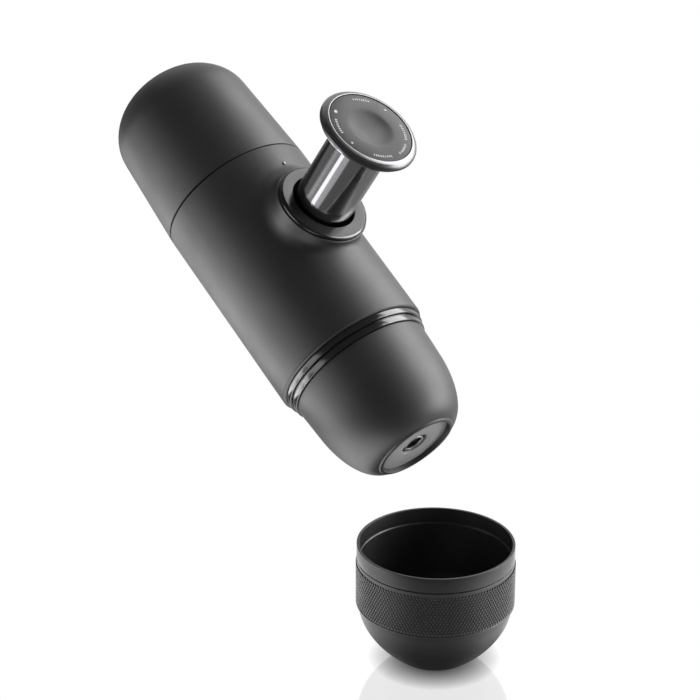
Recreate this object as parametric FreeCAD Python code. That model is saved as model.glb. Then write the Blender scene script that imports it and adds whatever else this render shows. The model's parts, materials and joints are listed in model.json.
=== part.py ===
import FreeCAD, Part
import math
import os

# Handheld manual espresso maker, pouring into its own cup.
# Every size is in millimetres and every angle in degrees.
# The machine is built upright in its own frame: the centre of the body's lower lip is at 0, +Z runs
# up the body to the water tank, and the piston slides along +X. It is then tilted over the cup.
# The cup stands on Z = 0 with the middle of its foot at the origin.

V = FreeCAD.Vector
X = V(1, 0, 0)
Y = V(0, 1, 0)
Z = V(0, 0, 1)

# pose of the machine over its cup
pour_tilt = 34.8
pour_roll = 4.0
nozzle_ahead = -4.6
nozzle_aside = -5.5
nozzle_above_rim = 36.8

# clearances
slide_gap = 0.4
piston_gap = 0.35
run_gap = 0.05
seat_gap = 0.05
seam_gap = 0.15
lug_gap = 0.3
land_gap = 0.1
screw_gap = 0.05

# small edges, and how far a cut runs past the face it opens
edge_break = 0.3
fine_break = 0.2
cut_over = 1.0
arc_mid = 1 - math.sqrt(0.5)

# body shell
body_r = 29.0
body_len = 77.5
body_wall = 2.2
lip_round = 1.2
seam_round = 0.35
piston_below_seam = 32.0
boss_wall = 1.9
boss_rise = 2.9
boss_fillet_side = 7.0
boss_fillet_crest = 2.4
pip_r = 0.9
pip_high = 0.5
pip_below_seam = 9.2

# ring round the piston, and the guide tube under it
collar_inset = 0.45
collar_room = 1.15
collar_thick = 1.8
collar_round = 0.6
guide_wall = 1.3
guide_step = 0.4
guide_flange = 1.8
guide_flange_thick = 1.2
land_sink = 5.5
land_thick = 2.0
lock_ring_thick = 2.0
lock_lift = 0.1

# piston sleeve and knob
sleeve_r = 10.75
sleeve_wall = 0.8
lug_thick = 2.8
lug_half_angle = 13.0
slot_half_angle = 16.0
knob_stand_off = 1.0
knob_under_inset = 0.75
knob_flare = 2.0
knob_flare_rise = 0.3
knob_base_thick = 0.7
knob_groove = 0.25
knob_groove_inset = 1.25
knob_r = 18.15
knob_rim_thick = 2.6
knob_bevel = 0.95
knob_land = 1.0
inset_thick = 1.6
inset_sink = 0.2
dish_r = 8.6
dish_deep = 0.8
knob_edge = 0.4
knob_side = 0.5
knob_crown = 0.6
spigot_deep = 5.4
spigot_wall = 1.3
hub_wall = 2.3
hub_floor = 0.4

# pump
pump_wall = 1.5
pump_back_wall = 3.1
sleeve_floor_up = 4.4
sleeve_run_out = 2.0
barrel_wall = 1.9
barrel_room = 0.79
pump_mouth_sink = 1.0
rod_r = 3.5
piston_head_thick = 2.6
piston_lip = 0.4
piston_slope = 0.8
piston_rest = 0.2
seal_lip = 0.5
seal_wide = 2.4
seal_deep = 1.2
port_r = 1.0
port_wall = 3.0
rib_thick = 4.0
rib_inset = 1.0
spring_wire = 1.0
spring_room = 0.225
spring_turns = 6

# chassis decks, valves, screen and screws
upper_deck_thick = 5.0
upper_deck_below_seam = 2.5
lower_deck_up = 4.0
lower_deck_down = 2.6
deck_screw_angle = 25.1
screw_boss_r = 3.0
screw_boss_web = 3.0
screw_boss_len = 14.0
screw_r = 1.25
screw_shank = 8.0
screw_pilot = 12.0
screen_screw_shank = 16.0
screen_screw_pilot = 18.0
screw_head_r = 2.3
screw_head_thick = 1.6
valve_r = 4.2
valve_thick = 1.5
valve_stem_r = 0.8
valve_stem_len = 1.2
valve_pocket = 2.4
strainer_room = 0.55
strainer_high = 8.0
strainer_wall = 0.8
strainer_round = 1.0
strainer_slots = 6
strainer_slot_wide = 1.6
strainer_slot_margin = 1.8

# water tank
tank_len = 54.0
tank_taper = 2.0
tank_shoulder = 16.8
tank_flat_r = 10.6
tank_wall = 2.2
tank_round = 0.55
tank_lean = 0.4
tank_spigot_high = 11.5
tank_spigot_wall = 2.0
tank_seal_thick = 1.5
tank_seal_wide = 1.9
tank_rib_in = 1.5
tank_rib_thick = 1.3
tank_rib_slope = 1.0
tank_seal_over = 0.1
tank_fit_wall = 2.4

# gloss collar under the lip, with the male thread inside it
band1_inset = 1.1
band1_len = 2.3
band_gap = 0.4
band_gap_deep = 0.45
band2_inset = 1.9
bands_len = 5.0
bands_root = 4.0
bands_edge = 0.4
spigot_wall_low = 1.8
spigot_len_low = 15.5

# outlet head
head_gap = 0.3
head_inset = 2.55
head_len = 40.5
head_skin = 1.5
head_taper = 0.85
head_mid = 19.0
head_end_r = 15.3
head_edge = 0.5
head_belly = 0.5
head_lean = 0.9
head_run_in = 5.4
head_turn_up = 2.2
head_end_round = 0.6
head_skin_extra = 0.1
head_skin_step = 2.0
pocket_stretch = 1.2
pocket_floor = 0.613
end_rim = 1.5
end_recess = 1.6
end_ledge = 1.8
end_floor = 1.5
cone_high = 8.2
cone_ledge = 0.6

# spout
plate_thick = 2.0
spout_wall = 1.1
spout_sink = 0.7
spout_ring_wall = 0.9
spout_hole_r = 3.0
spout_ring_proud = 0.35
spout_ring_deep = 1.0
spout_ring_break = 0.15
spout_flange = 1.6
spout_flange_thick = 1.0

# filter basket, its screen, the shower screen and the gasket
gasket_thick = 2.0
gasket_wide = 2.2
flange_thick = 1.4
tube_wall = 1.95
basket_wall = 1.2
basket_room = 1.0
basket_ledge = 1.8
basket_floor = 1.2
basket_edge = 0.5
screen_thick = 0.6
screen_hole_r = 1.0
screen_rings = 1
screen_border = 0.8
shower_thick = 0.8
shower_room = 0.5

# cup
cup_high = 46.0
cup_dock_gap = 0.05
cup_rim_wall = 0.95
cup_rim_band = 3.6
cup_rim_edge = 0.4
cup_ledge = 5.5
cup_head_gap = 0.3
cup_floor = 2.4
cup_foot_r = 10.5
cup_foot_round = 0.15
cup_foot_in = 0.6
cup_bottom_in = 1.0
grip_proud = 0.3
grip_low = 22.2
grip_thick = 1.0
grip_groove = 0.3
grip_groove_deep = 0.2
grip_edge = 0.25
bowl_side_out = 0.15
bowl_below_grip = 0.8
bowl_in_below_grip = 1.5
bowl_lean = 0.5
bowl_fall = 0.43
bowl_reach = 0.38
bowl_rise = 0.14

# sizes that follow from the ones above: radii from the body inwards
body_in_r = body_r - body_wall
tank_top_r = body_r - tank_taper
band1_r = body_r - band1_inset
band2_r = body_r - band2_inset
head_r = body_r - head_inset
head_mid_r = head_r - head_taper
deck_r = body_in_r - seat_gap
tank_spigot_r = body_r - tank_fit_wall - slide_gap
deck_screw_r = tank_spigot_r - tank_spigot_wall - screw_boss_r
deck_screw_x = deck_screw_r * math.sin(math.radians(deck_screw_angle))
deck_screw_y = deck_screw_r * math.cos(math.radians(deck_screw_angle))
spigot_r_low = head_r - head_skin - slide_gap
spigot_in_r_low = spigot_r_low - spigot_wall_low
tube_r = spigot_in_r_low - slide_gap
tube_in_r = tube_r - tube_wall
basket_r = tube_in_r - slide_gap
shower_r = spigot_in_r_low - gasket_wide - shower_room
end_recess_r = head_end_r - end_rim

# radii about the piston's axis
sleeve_in_r = sleeve_r - sleeve_wall
pump_r = sleeve_in_r - spring_wire - 2 * spring_room
pump_bore_r = pump_r - pump_wall
piston_r = pump_bore_r - piston_gap
land_r = sleeve_r + run_gap
lock_r = sleeve_r + lug_gap
collar_hole_r = sleeve_r + collar_room
guide_top_r = collar_hole_r + seat_gap
guide_bore_r = guide_top_r + guide_step
lug_r = guide_bore_r - lug_gap
guide_r = guide_bore_r + guide_wall
barrel_bore_r = guide_r + seat_gap
barrel_r = barrel_bore_r + barrel_wall
boss_r = guide_r + guide_flange + boss_wall
collar_r = boss_r - collar_inset
knob_under_r = knob_r - knob_under_inset
knob_groove_r = knob_r - knob_groove_inset
inset_r = knob_r - knob_bevel - knob_crown - knob_land

# places along the piston's axis
boss_top = body_r + boss_rise
collar_top = boss_top + collar_thick
barrel_mouth = math.sqrt(body_in_r**2 - barrel_r**2) - barrel_room
barrel_end = -barrel_mouth
pump_mouth = barrel_mouth - pump_mouth_sink
pump_end = barrel_end + pump_back_wall
port_x = pump_end + port_r
sleeve_floor = pump_end + sleeve_floor_up
land_low = boss_top - land_sink - land_thick
lug_high = land_low - land_gap
lug_low = lug_high - lug_thick
stroke = lug_low - sleeve_run_out - sleeve_floor
lock_low = lug_high - stroke + land_gap + lock_lift
piston_face = pump_end + 2 * port_r + piston_rest + stroke
seal_low = piston_face + piston_lip
knob_under = collar_top + stroke + knob_stand_off
sleeve_top = knob_under - knob_flare
rod_top = knob_under - hub_floor - land_gap
knob_floor = knob_under + knob_flare_rise + knob_base_thick
knob_top = knob_floor + knob_groove + knob_rim_thick

# heights up the body
piston_z = body_len - piston_below_seam
deck_top = body_len - upper_deck_below_seam
deck_low = deck_top - upper_deck_thick
tank_spigot_top = deck_top + tank_spigot_high
strainer_r = valve_r + seat_gap + strainer_wall + strainer_room
pip_z = body_len - pip_below_seam
pip_ball_r = (pip_r**2 + pip_high**2) / (2 * pip_high)

# heights down the head
gasket_low = -lower_deck_down - gasket_thick
flange_low = gasket_low - flange_thick
plate_low = -head_len + end_recess
plate_high = plate_low + plate_thick
spout_low = plate_low + spout_sink
spout_ring_r = spout_hole_r + spout_ring_wall
spout_r = spout_ring_r + spout_wall
end_floor_high = plate_high + end_floor
cone_top = end_floor_high + cone_high
basket_low = cone_top + cone_ledge + basket_room

# sizes of the cup, whose rim docks over the body's lower gloss band and round the head
cup_rim_in = band2_r + cup_dock_gap
cup_rim_r = cup_rim_in + cup_rim_wall
cup_in_r = head_r + cup_head_gap
grip_r = cup_rim_r + grip_proud
grip_top = cup_high - cup_rim_band
grip_bottom = cup_high - grip_low
grip_seat_r = grip_r - grip_thick


def outline(start, *steps):
    """A closed face in the XZ plane. A step is a point (line), two points (arc) or three (Bezier)."""
    at = V(start[0], 0, start[1])
    first = at
    edges = []
    for step in steps:
        points = [step] if isinstance(step[0], (int, float)) else list(step)
        points = [V(p[0], 0, p[1]) for p in points]
        if len(points) == 1:
            edges.append(Part.LineSegment(at, points[0]).toShape())
        elif len(points) == 2:
            edges.append(Part.Arc(at, points[0], points[1]).toShape())
        else:
            curve = Part.BezierCurve()
            curve.setPoles([at] + points)
            edges.append(curve.toShape())
        at = points[-1]
    if at.distanceToPoint(first) > 1e-6:
        edges.append(Part.LineSegment(at, first).toShape())
    return Part.Face(Part.Wire(edges))


def turned(start, *steps):
    """A solid of revolution about Z."""
    return outline(start, *steps).revolve(V(0, 0, 0), Z, 360)


def to_piston(shape):
    """Turns a shape built about Z so that it lies on the piston's axis, its Z along +X."""
    shape.rotate(V(0, 0, 0), Y, 90)
    shape.translate(V(0, 0, piston_z))
    return shape


def across(radius, low, high):
    return Part.makeCylinder(radius, high - low, V(low, 0, piston_z), X)


def tube(radius, inner, low, high):
    return turned((inner, low), (radius, low), (radius, high), (inner, high))


def rod(radius, low, high, x=0, y=0):
    return Part.makeCylinder(radius, high - low, V(x, y, low), Z)


def ring_of_holes(radius, low, high, hole_r, count):
    holes = []
    for i in range(count):
        angle = math.radians(360 * i / count)
        holes.append(rod(hole_r, low, high, radius * math.cos(angle), radius * math.sin(angle)))
    return holes


def sector(radius, inner, low, high, half_angle, middle):
    """A piece of ring about Z that covers half_angle each side of the direction middle."""
    piece = Part.makeCylinder(radius, high - low, V(0, 0, low), Z, 2 * half_angle)
    piece.rotate(V(0, 0, 0), Z, middle - half_angle)
    return piece.cut(rod(inner, low - cut_over, high + cut_over))


# ---------------------------------------------------------------- body shell and what is fixed to it


def boss_on_body():
    """The solid body with its side boss, blended by a fillet that grows from the crests to the sides."""
    body = Part.makeCylinder(body_r, body_len)
    body.rotate(V(0, 0, 0), Z, 180)
    bend = arc_mid * edge_break
    profile = outline(
        (0, 0),
        (boss_r, 0),
        (boss_r, boss_top - edge_break),
        ((boss_r - bend, boss_top - bend), (boss_r - edge_break, boss_top)),
        (0, boss_top),
    )
    for quarter in range(4):
        piece = profile.revolve(V(0, 0, 0), Z, 90)
        piece.rotate(V(0, 0, 0), Z, 90 * quarter)
        body = body.fuse(to_piston(piece))
    work = FreeCAD.newDocument("blend")
    base = work.addObject("Part::Feature", "base")
    base.Shape = body
    blend = work.addObject("Part::Fillet", "blend")
    blend.Base = base
    blend.Edges = [
        (i, foot_fillet(edge.valueAt(edge.FirstParameter)), foot_fillet(edge.valueAt(edge.LastParameter)))
        for i, edge in enumerate(body.Edges, 1)
        if is_boss_foot(edge)
    ]
    work.recompute()
    blended = blend.Shape.copy()
    FreeCAD.closeDocument("blend")
    return blended


def foot_fillet(point):
    """Fillet radius at a point of the boss's foot: small on the body's crest, large at its sides."""
    sideways = abs(point.y) / boss_r
    return boss_fillet_crest + (boss_fillet_side - boss_fillet_crest) * sideways**2


def is_boss_foot(edge):
    middle = edge.valueAt((edge.FirstParameter + edge.LastParameter) / 2)
    off_body = abs(math.hypot(middle.x, middle.y) - body_r)
    off_boss = abs(math.hypot(middle.y, middle.z - piston_z) - boss_r)
    return off_body < run_gap and off_boss < run_gap and middle.x > 0


def main_body():
    shell = boss_on_body()
    lip = [e for e in shell.Edges if on_rim(e, 0)]
    shell = shell.makeFillet(lip_round, lip)
    seam = [e for e in shell.Edges if on_rim(e, body_len)]
    shell = shell.makeFillet(seam_round, seam)
    shell = shell.cut(rod(body_in_r, -cut_over, body_len + cut_over))
    shell = shell.cut(across(barrel_bore_r, 0, boss_top + cut_over))
    flange_low = boss_top - guide_flange_thick
    shell = shell.cut(across(guide_r + guide_flange + seat_gap, flange_low, boss_top + cut_over))
    for x, y in deck_screw_places():
        shell = shell.fuse(screw_post(x, y))
    for x, y in deck_screw_places():
        shell = shell.cut(rod(screw_r, deck_top - screw_pilot, deck_top, x, y))
    return shell.fuse(pip())


def screw_post(x, y):
    """A post under the upper deck, tied to the shell's wall by a web."""
    low = deck_low - screw_boss_len
    post = rod(screw_boss_r, low, low + screw_boss_len, x, y)
    reach = body_r - abs(y)
    web = Part.makeBox(
        screw_boss_web, reach, screw_boss_len, V(x - screw_boss_web / 2, y if y > 0 else y - reach, low)
    )
    return post.fuse(web).common(rod(body_in_r + body_wall / 2, 0, body_len))


def pip():
    """A small domed dot above the boss: the outer cap of a ball that sits in the shell's wall."""
    ball = Part.makeSphere(pip_ball_r, V(body_r + pip_high - pip_ball_r, 0, pip_z))
    root = body_r - body_wall / 2
    return ball.common(Part.makeCylinder(pip_ball_r, pip_high + body_wall / 2, V(root, 0, pip_z), X))


def on_rim(edge, z):
    box = edge.BoundBox
    return abs(box.ZMin - z) < 1e-6 and abs(box.ZMax - z) < 1e-6 and box.XMax > (body_r + body_in_r) / 2


def deck_screw_places():
    return [(x, y) for x in (-deck_screw_x, deck_screw_x) for y in (-deck_screw_y, deck_screw_y)]


def collar_ring():
    low = boss_top
    bend = arc_mid * collar_round
    ring = turned(
        (collar_hole_r, low),
        (collar_r - edge_break, low),
        (collar_r, low + edge_break),
        (collar_r, collar_top - collar_round),
        ((collar_r - bend, collar_top - bend), (collar_r - collar_round, collar_top)),
        (collar_hole_r + edge_break, collar_top),
        (collar_hole_r, collar_top - edge_break),
    )
    return to_piston(ring)


def piston_guide():
    """Guide tube: a land for the sleeve, a bore for its lugs, and a slotted ring that locks them."""
    low = sleeve_floor
    flange_r = guide_r + guide_flange
    body = turned(
        (guide_bore_r, low),
        (guide_r, low),
        (guide_r, boss_top - guide_flange_thick),
        (flange_r, boss_top - guide_flange_thick),
        (flange_r, boss_top),
        (guide_top_r, boss_top),
        (guide_top_r, land_low + land_thick),
        (land_r, land_low + land_thick),
        (land_r, land_low),
        (guide_bore_r, land_low),
        (guide_bore_r, lock_low + lock_ring_thick),
        (lock_r, lock_low + lock_ring_thick),
        (lock_r, lock_low),
        (guide_bore_r, lock_low),
    )
    for side in (90, 270):
        high = lock_low + lock_ring_thick + cut_over
        body = body.cut(sector(guide_bore_r, sleeve_in_r, lock_low - cut_over, high, slot_half_angle, side))
    return to_piston(body)


def upper_deck():
    """Deck under the tank, with the tank's spigot and the pocket of the inlet valve."""
    spigot_in = tank_spigot_r - tank_spigot_wall
    deck = turned(
        (0, deck_low),
        (deck_r, deck_low),
        (deck_r, deck_top),
        (tank_spigot_r, deck_top),
        (tank_spigot_r, tank_spigot_top),
        (spigot_in, tank_spigot_top),
        (spigot_in, deck_top),
        (0, deck_top),
    )
    deck = deck.cut(rod(valve_r + seat_gap, deck_top - valve_pocket, deck_top + cut_over, port_x))
    deck = deck.cut(rod(port_r, deck_low - cut_over, deck_top, port_x))
    for x, y in deck_screw_places():
        deck = deck.cut(rod(screw_r, deck_low - cut_over, deck_top + cut_over, x, y))
    return deck


def lower_deck():
    """Deck over the coffee, with the head's spigot and the pocket of the outlet valve."""
    deck = turned(
        (0, -lower_deck_down),
        (spigot_in_r_low, -lower_deck_down),
        (spigot_in_r_low, -spigot_len_low),
        (spigot_r_low, -spigot_len_low),
        (spigot_r_low, lower_deck_up),
        (0, lower_deck_up),
    )
    pocket_high = valve_pocket - lower_deck_down
    deck = deck.cut(rod(valve_r + seat_gap, -lower_deck_down - cut_over, pocket_high, port_x))
    deck = deck.cut(rod(port_r, -lower_deck_down, lower_deck_up + cut_over, port_x))
    return deck.cut(rod(screw_r, -lower_deck_down - cut_over, lower_deck_up + cut_over))


def pump_housing():
    """The pump barrel that runs across the body, with the ribs and ports that join both decks."""
    high = deck_low - lower_deck_up
    rib_long = 2 * (spigot_r_low - rib_inset)
    ribs = Part.makeBox(rib_long, rib_thick, high, V(-rib_long / 2, -rib_thick / 2, lower_deck_up))
    cross = Part.makeBox(rib_thick, rib_long, high, V(-rib_thick / 2, -rib_long / 2, lower_deck_up))
    housing = ribs.fuse(cross)
    housing = housing.fuse(across(barrel_r, barrel_end, barrel_mouth))
    housing = housing.fuse(rod(port_wall, lower_deck_up, deck_low, port_x))
    housing = housing.cut(across(barrel_bore_r, sleeve_floor, body_r))
    inner = across(pump_r, barrel_end + pump_back_wall / 2, pump_mouth)
    housing = housing.fuse(inner).cut(across(pump_bore_r, pump_end, body_r))
    housing = housing.cut(rod(port_r, lower_deck_up - cut_over, piston_z - pump_bore_r / 2, port_x))
    housing = housing.cut(rod(port_r, piston_z + pump_bore_r / 2, deck_low + cut_over, port_x))
    return housing.cut(rod(screw_r, lower_deck_up - cut_over, screen_screw_pilot - lower_deck_down))


def thread_collar():
    """Gloss ring under the lip: two bands with a groove between, rooted inside the shell."""
    inner = spigot_r_low + seat_gap
    root_r = body_in_r - seat_gap
    groove_r = band2_r - band_gap_deep
    groove_low = -band1_len - band_gap
    return turned(
        (inner, -bands_len),
        (band2_r - bands_edge, -bands_len),
        (band2_r, -bands_len + bands_edge),
        (band2_r, groove_low),
        (groove_r, groove_low),
        (groove_r, -band1_len),
        (band1_r - bands_edge, -band1_len),
        (band1_r, -band1_len + bands_edge),
        (band1_r, -seam_gap),
        (root_r, -seam_gap),
        (root_r, bands_root),
        (inner, bands_root),
    )


def screw(head_z, long, x=0, y=0, down=True):
    """A pan head screw whose head sits on the plane head_z."""
    away = -1 if down else 1
    low, high = sorted((head_z, head_z + away * long))
    shank = rod(screw_r - screw_gap, low, high, x, y)
    low, high = sorted((head_z, head_z - away * screw_head_thick))
    return shank.fuse(rod(screw_head_r, low, high, x, y))


def chassis_screws():
    return Part.makeCompound([screw(deck_top, screw_shank, x, y) for x, y in deck_screw_places()])


def screen_screw():
    return screw(-lower_deck_down - shower_thick, screen_screw_shank, down=False)


def valve(z, upward):
    """A mushroom valve: a disc that covers the port, with a stem."""
    disc = rod(valve_r, z, z + valve_thick, port_x)
    stem_low = z - valve_stem_len if upward else z + valve_thick
    return disc.fuse(rod(valve_stem_r, stem_low, stem_low + valve_stem_len, port_x))


def inlet_valve():
    return valve(deck_top - valve_pocket, True)


def outlet_valve():
    return valve(valve_pocket - lower_deck_down - valve_thick, False)


def intake_strainer():
    """A slotted cap over the intake, so that only clear water reaches the pump."""
    low = deck_top
    top = low + strainer_high
    bend = arc_mid * strainer_round
    cap = turned(
        (strainer_r - strainer_wall, low),
        (strainer_r, low),
        (strainer_r, top - strainer_round),
        ((strainer_r - bend, top - bend), (strainer_r - strainer_round, top)),
        (0, top),
        (0, top - strainer_wall),
        (strainer_r - strainer_wall, top - strainer_wall),
    )
    slot_high = strainer_high - 2 * strainer_slot_margin
    corner = V(strainer_r / 2, -strainer_slot_wide / 2, low + strainer_slot_margin)
    for i in range(strainer_slots):
        slot = Part.makeBox(strainer_r, strainer_slot_wide, slot_high, corner)
        slot.rotate(V(0, 0, 0), Z, 360 * i / strainer_slots)
        cap = cap.cut(slot)
    cap.translate(V(port_x, 0, 0))
    return cap


def perforated(radius, low, high, centre_r):
    """A disc with a centre hole and rings of 6, 12, 18 ... holes inside a plain border."""
    disc = rod(radius, low, high)
    pitch = radius / (screen_rings + screen_border)
    holes = [rod(centre_r, low - cut_over, high + cut_over)]
    for k in range(1, screen_rings + 1):
        holes += ring_of_holes(pitch * k, low - cut_over, high + cut_over, screen_hole_r, 6 * k)
    return disc.cut(holes)


def shower_screen():
    low = -lower_deck_down - shower_thick
    return perforated(shower_r, low, low + shower_thick, screw_r)


def chamber_gasket():
    return tube(spigot_in_r_low - seat_gap, spigot_in_r_low - gasket_wide, gasket_low, -lower_deck_down)


def return_spring():
    """Coil spring of square wire, from the sleeve's floor to the knob's spigot."""
    low = sleeve_floor + spring_wire / 2 + run_gap
    high = sleeve_top - spigot_deep - spring_wire / 2 - run_gap
    mean_r = (pump_r + sleeve_in_r) / 2
    helix = Part.makeHelix((high - low) / spring_turns, high - low, mean_r)
    start = V(mean_r, 0, 0)
    corners = [
        start + V(math.cos(math.radians(a)), 0, math.sin(math.radians(a))) * (spring_wire / 2)
        for a in range(45, 406, 90)
    ]
    wire = Part.makePolygon(corners)
    coil = Part.Wire(helix).makePipeShell([wire], True, True)
    coil.translate(V(0, 0, low))
    return to_piston(coil)


# ---------------------------------------------------------------- piston, sleeve and knob


def plunger_rod():
    """Rod with a grooved piston head at its lower end; its top turns in the knob's hub."""
    groove_high = seal_low + seal_wide
    head_high = groove_high + piston_head_thick
    shape = turned(
        (0, piston_face),
        (piston_r - piston_lip, piston_face),
        (piston_r, seal_low),
        (piston_r - seal_deep, seal_low),
        (piston_r - seal_deep, groove_high),
        (piston_r, groove_high),
        (piston_r, head_high - piston_slope),
        (rod_r, head_high),
        (rod_r, rod_top),
        (0, rod_top),
    )
    return to_piston(shape)


def plunger_seal():
    """Lip seal in the piston head's groove, running in the pump bore."""
    low = seal_low
    inner = piston_r - seal_deep
    outer = pump_bore_r - run_gap
    ring = turned(
        (inner, low),
        (outer - seal_lip, low),
        (outer, low + seal_lip),
        (outer, low + seal_wide - seal_lip),
        (outer - seal_lip, low + seal_wide),
        (inner, low + seal_wide),
    )
    return to_piston(ring)


def piston_sleeve():
    """Plain tube with two lugs at its lower end."""
    sleeve = tube(sleeve_r, sleeve_in_r, lug_low, sleeve_top)
    for side in (90, 270):
        root_r = (sleeve_r + sleeve_in_r) / 2
        sleeve = sleeve.fuse(sector(lug_r, root_r, lug_low, lug_high, lug_half_angle, side))
    return to_piston(sleeve)


def knob_base():
    """Flared plate under the knob, with a spigot in the sleeve and a hub for the rod."""
    low = sleeve_top - spigot_deep
    spigot_r = sleeve_in_r - seat_gap
    hub_in = rod_r + run_gap
    bend = arc_mid * knob_flare
    shape = turned(
        (hub_in, low),
        (hub_in + hub_wall, low),
        (hub_in + hub_wall, sleeve_top),
        (spigot_r - spigot_wall, sleeve_top),
        (spigot_r - spigot_wall, low),
        (spigot_r, low),
        (spigot_r, sleeve_top),
        (sleeve_r, sleeve_top),
        ((sleeve_r + bend, knob_under - bend), (sleeve_r + knob_flare, knob_under)),
        (knob_under_r, knob_under + knob_flare_rise),
        (knob_under_r, knob_floor),
        (0, knob_floor),
        (0, knob_under - hub_floor),
        (hub_in, knob_under - hub_floor),
    )
    return to_piston(shape)


def knob_rim():
    """Bezel of the knob, set off from its base by a dark groove."""
    low = knob_floor
    top = knob_top
    floor = top - inset_sink - inset_thick
    edge_low = low + knob_groove
    bend = arc_mid * knob_edge
    shape = turned(
        (0, low),
        (knob_groove_r, low),
        (knob_groove_r, edge_low),
        (knob_r - knob_edge, edge_low),
        ((knob_r - bend, edge_low + bend), (knob_r, edge_low + knob_edge)),
        (knob_r, edge_low + knob_edge + knob_side),
        (knob_r - knob_bevel, top - edge_break),
        (knob_r - knob_bevel - knob_crown, top),
        (inset_r + seat_gap, top),
        (inset_r + seat_gap, floor),
        (0, floor),
    )
    return to_piston(shape)


def knob_inset():
    """Touch disc on the knob, with a shallow dish in its middle."""
    top = knob_top - inset_sink
    low = top - inset_thick
    shape = turned(
        (0, low),
        (inset_r, low),
        (inset_r, top - fine_break),
        (inset_r - fine_break, top),
        (dish_r, top),
        ((2 * dish_r / 3, top - dish_deep), (dish_r / 3, top - dish_deep), (0, top - dish_deep)),
    )
    return to_piston(shape)


# ---------------------------------------------------------------- water tank


def water_tank():
    """Tapered tank with a round shoulder, a threaded mouth and a rib that holds the seal."""
    low = body_len + seam_gap
    top = body_len + tank_len
    turn_z = top - tank_shoulder
    mouth_r = body_r - tank_fit_wall
    rib_low = tank_spigot_top + tank_seal_thick
    rib_r = mouth_r - tank_rib_in
    fall = (body_r - tank_top_r) / (turn_z - low)
    inner_low = body_r - fall * (rib_low - low) - tank_wall
    in_top_r = tank_top_r - tank_wall
    bend = arc_mid * seam_round
    out_pull = tank_flat_r + (1 - tank_round) * (tank_top_r - tank_flat_r)
    in_pull = tank_flat_r + (1 - tank_round) * (in_top_r - tank_flat_r)
    in_high = top - tank_wall
    return turned(
        (mouth_r, low),
        (body_r - seam_round, low),
        ((body_r - bend, low + bend), (body_r, low + seam_round)),
        (tank_top_r, turn_z),
        ((tank_top_r - tank_lean, turn_z + tank_round * tank_shoulder), (out_pull, top), (tank_flat_r, top)),
        (0, top),
        (0, in_high),
        (tank_flat_r, in_high),
        (
            (in_pull, in_high),
            (in_top_r - tank_lean, turn_z + tank_round * (tank_shoulder - tank_wall)),
            (in_top_r, turn_z),
        ),
        (inner_low, rib_low + tank_rib_thick + tank_rib_slope),
        (rib_r, rib_low + tank_rib_thick),
        (rib_r, rib_low),
        (mouth_r, rib_low),
    )


def tank_seal():
    low = tank_spigot_top
    outer = tank_spigot_r + tank_seal_over
    return tube(outer, outer - tank_seal_wide, low, low + tank_seal_thick)


# ---------------------------------------------------------------- outlet head, spout and basket


def outlet_head():
    """Domed head: outer skin, inner tube that carries the basket, and the seat of the spout plate."""
    top = -bands_len - head_gap
    end = -head_len
    skin_in = head_r - head_skin
    pocket_mid = head_mid_r - head_skin - head_skin_extra
    deep = head_len - head_mid
    bend = arc_mid * head_edge
    turn_in = arc_mid * head_end_round
    pocket_low_r = tube_r + pocket_floor
    pocket_low = -head_mid - pocket_stretch * deep * math.sqrt(1 - (pocket_low_r / pocket_mid) ** 2)
    floor_r = end_recess_r - end_ledge
    return turned(
        (skin_in, top),
        (head_r - head_edge, top),
        ((head_r - bend, top - bend), (head_r, top - head_edge)),
        (head_mid_r, -head_mid),
        (
            (head_mid_r - head_lean, -head_mid - head_belly * deep),
            (head_end_r + head_run_in, end + head_turn_up),
            (head_end_r, end + head_end_round),
        ),
        ((head_end_r - turn_in, end + turn_in), (head_end_r - head_end_round, end)),
        (end_recess_r + edge_break, end),
        (end_recess_r, end + edge_break),
        (end_recess_r, plate_high),
        (floor_r, plate_high),
        (floor_r, end_floor_high),
        (tube_in_r - cone_ledge, cone_top),
        (tube_in_r, cone_top + cone_ledge),
        (tube_in_r, flange_low),
        (tube_r, flange_low),
        (tube_r, pocket_low),
        (pocket_low_r, pocket_low),
        (pocket_mid, -head_mid),
        (skin_in, -head_mid + head_skin_step),
    )


def spout_plate():
    """Recessed end plate of the head, with the hole for the nozzle."""
    hole = spout_r + seat_gap
    outer = end_recess_r - seat_gap
    return turned(
        (hole, plate_low),
        (outer - edge_break, plate_low),
        (outer, plate_low + edge_break),
        (outer, plate_high),
        (hole, plate_high),
    )


def spout_nozzle():
    """Black nozzle insert, flanged behind the plate, with a sunk face round the metal ring."""
    flange_r = spout_r + spout_flange
    ring_r = spout_ring_r + seat_gap
    ring_high = spout_low + spout_ring_deep
    return turned(
        (spout_hole_r, ring_high),
        (ring_r, ring_high),
        (ring_r, spout_low),
        (spout_r, spout_low),
        (spout_r, plate_high),
        (flange_r, plate_high),
        (flange_r, plate_high + spout_flange_thick),
        (spout_hole_r, plate_high + spout_flange_thick),
    )


def spout_ring():
    low = spout_low - spout_ring_proud
    high = spout_low + spout_ring_deep
    return turned(
        (spout_hole_r, low + spout_ring_break),
        (spout_hole_r + spout_ring_break, low),
        (spout_ring_r - spout_ring_break, low),
        (spout_ring_r, low + spout_ring_break),
        (spout_ring_r, high),
        (spout_hole_r, high),
    )


def filter_basket():
    """Flanged basket with an open floor ring that carries the filter screen."""
    inner = basket_r - basket_wall
    return turned(
        (inner - basket_ledge, basket_low),
        (basket_r - basket_edge, basket_low),
        (basket_r, basket_low + basket_edge),
        (basket_r, flange_low),
        (tube_r, flange_low),
        (tube_r, gasket_low),
        (inner + basket_edge, gasket_low),
        (inner, gasket_low - basket_edge),
        (inner, basket_low + basket_floor),
        (inner - basket_ledge, basket_low + basket_floor),
    )


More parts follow.
